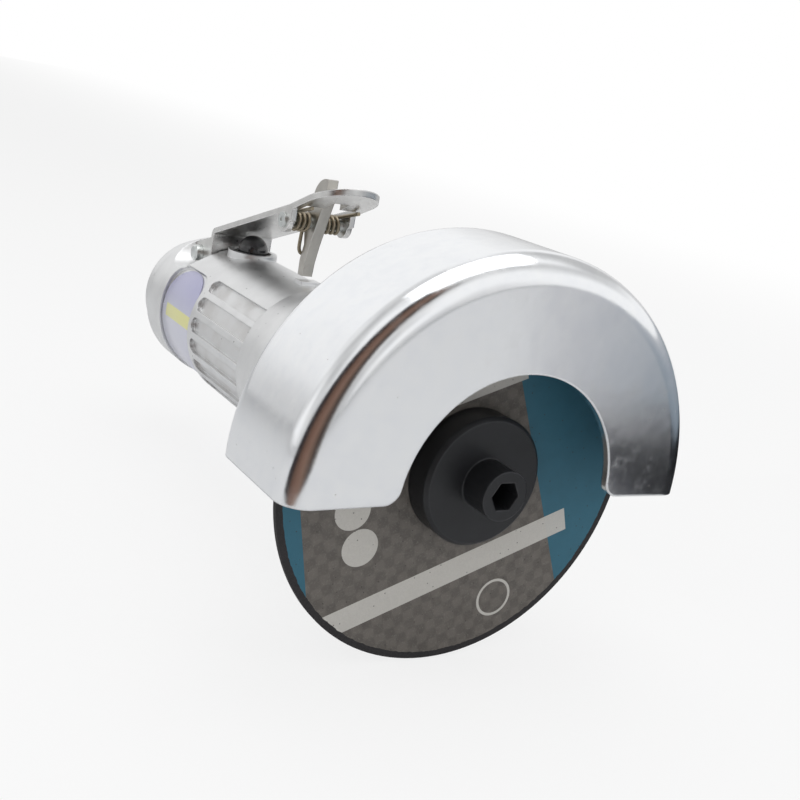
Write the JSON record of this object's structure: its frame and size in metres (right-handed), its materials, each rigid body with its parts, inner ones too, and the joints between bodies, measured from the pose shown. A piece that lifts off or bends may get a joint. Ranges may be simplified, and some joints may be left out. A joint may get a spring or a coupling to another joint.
{
  "type": "pneumatic cut off tool",
  "caption": "Hand-held air cut off tool with a barrel grip, guarded abrasive wheel, throttle lever with a sprung safety latch, and a threaded air inlet at the rear.",
  "frame": {"origin": "centre of the air inlet's mouth, at the rear end of the tool", "axes": "+Y along the spindle axis from the wheel to the air inlet and out of it, +Z towards the throttle lever, +X across the tool, right-handed"},
  "size_m": [0.0844, 0.1548, 0.0797],
  "materials": {
    "housing_alloy": "bead-blasted die casting",
    "label_film": "lilac film with a yellow stripe",
    "hard_steel": "ground steel",
    "bearing_steel": "ground steel",
    "spring_steel": "drawn wire and strip",
    "nut_steel": "blackened steel",
    "felt": "pressed felt",
    "brass": "turned brass",
    "inlet_steel": "zinc-plated steel",
    "pin_steel": "turned steel",
    "vane_laminate": "phenolic laminate",
    "black_steel": "black oxide",
    "abrasive": "resin-bonded abrasive with a printed paper",
    "guard_chrome": "polished chrome",
    "lever_steel": "satin nickel-plated sheet steel",
    "latch_wire": "bronzed spring wire",
    "latch_steel": "sintered steel",
    "rubber": "nitrile rubber",
    "button_plastic": "moulded black plastic"
  },
  "bodies": {
    "housing": {"motor_housing": "housing_alloy", "label_band": "label_film", "cylinder_liner": "hard_steel", "front_end_plate": "hard_steel", "rear_end_plate": "hard_steel", "front_bearing_outer_ring": "bearing_steel", "rear_bearing_outer_ring": "bearing_steel", "preload_washer": "spring_steel", "locating_pin": "bearing_steel", "clamp_nut": "nut_steel", "dust_seal": "felt", "valve_bushing": "brass", "valve_spring": "spring_steel", "inlet_bushing": "inlet_steel", "inlet_screen": "brass", "lever_pin": "pin_steel"},
    "spindle": {"rotor_shaft": "hard_steel", "rotor_vanes": "vane_laminate", "front_bearing_inner_ring": "bearing_steel", "rear_bearing_inner_ring": "bearing_steel", "inner_flange": "black_steel", "cutting_wheel": "abrasive", "wheel_screw": "black_steel"},
    "guard": {"wheel_guard": "guard_chrome"},
    "exhaust": {"exhaust_deflector": "housing_alloy"},
    "lever": {"throttle_lever": "lever_steel", "latch_pin": "pin_steel", "latch_spring": "latch_wire"},
    "latch": {"safety_latch": "latch_steel"},
    "valve": {"valve_stem": "hard_steel", "valve_face": "rubber", "valve_button": "button_plastic"}
  },
  "joints": [
    {"name": "spindle_spin", "type": "hinge", "parent": "housing", "child": "spindle", "pos_m": [0, -0.142, 0], "axis": [0, 1, 0], "continuous": true},
    {"name": "guard_turn", "type": "hinge", "parent": "housing", "child": "guard", "pos_m": [0, -0.1288, 0], "axis": [0, 1, 0], "range_deg": [-90, 90]},
    {"name": "exhaust_turn", "type": "hinge", "parent": "housing", "child": "exhaust", "pos_m": [0, -0.013, 0], "axis": [0, 1, 0], "continuous": true},
    {"name": "lever_press", "type": "hinge", "parent": "housing", "child": "lever", "pos_m": [0, -0.0265, 0.0142], "axis": [1, 0, 0], "range_deg": [0, 4], "stiffness_Nm_per_rad": 1, "springref_deg": -5.73},
    {"name": "latch_swing", "type": "hinge", "parent": "lever", "child": "latch", "pos_m": [0, -0.07, 0.0312], "axis": [1, 0, 0], "range_deg": [0, 33], "deforming": ["latch_spring"]},
    {"name": "valve_push", "type": "slide", "parent": "housing", "child": "valve", "axis": [0, 0, -1], "range_m": [0, 0.001], "stiffness_N_per_m": 50, "springref_m": -0.002, "deforming": ["valve_spring"]}
  ],
  "couplings": [
    {"joint": "latch_swing", "follows": "lever_press", "ratio": 8},
    {"joint": "valve_push", "follows": "lever_press", "m_per_rad": 0.0136}
  ]
}
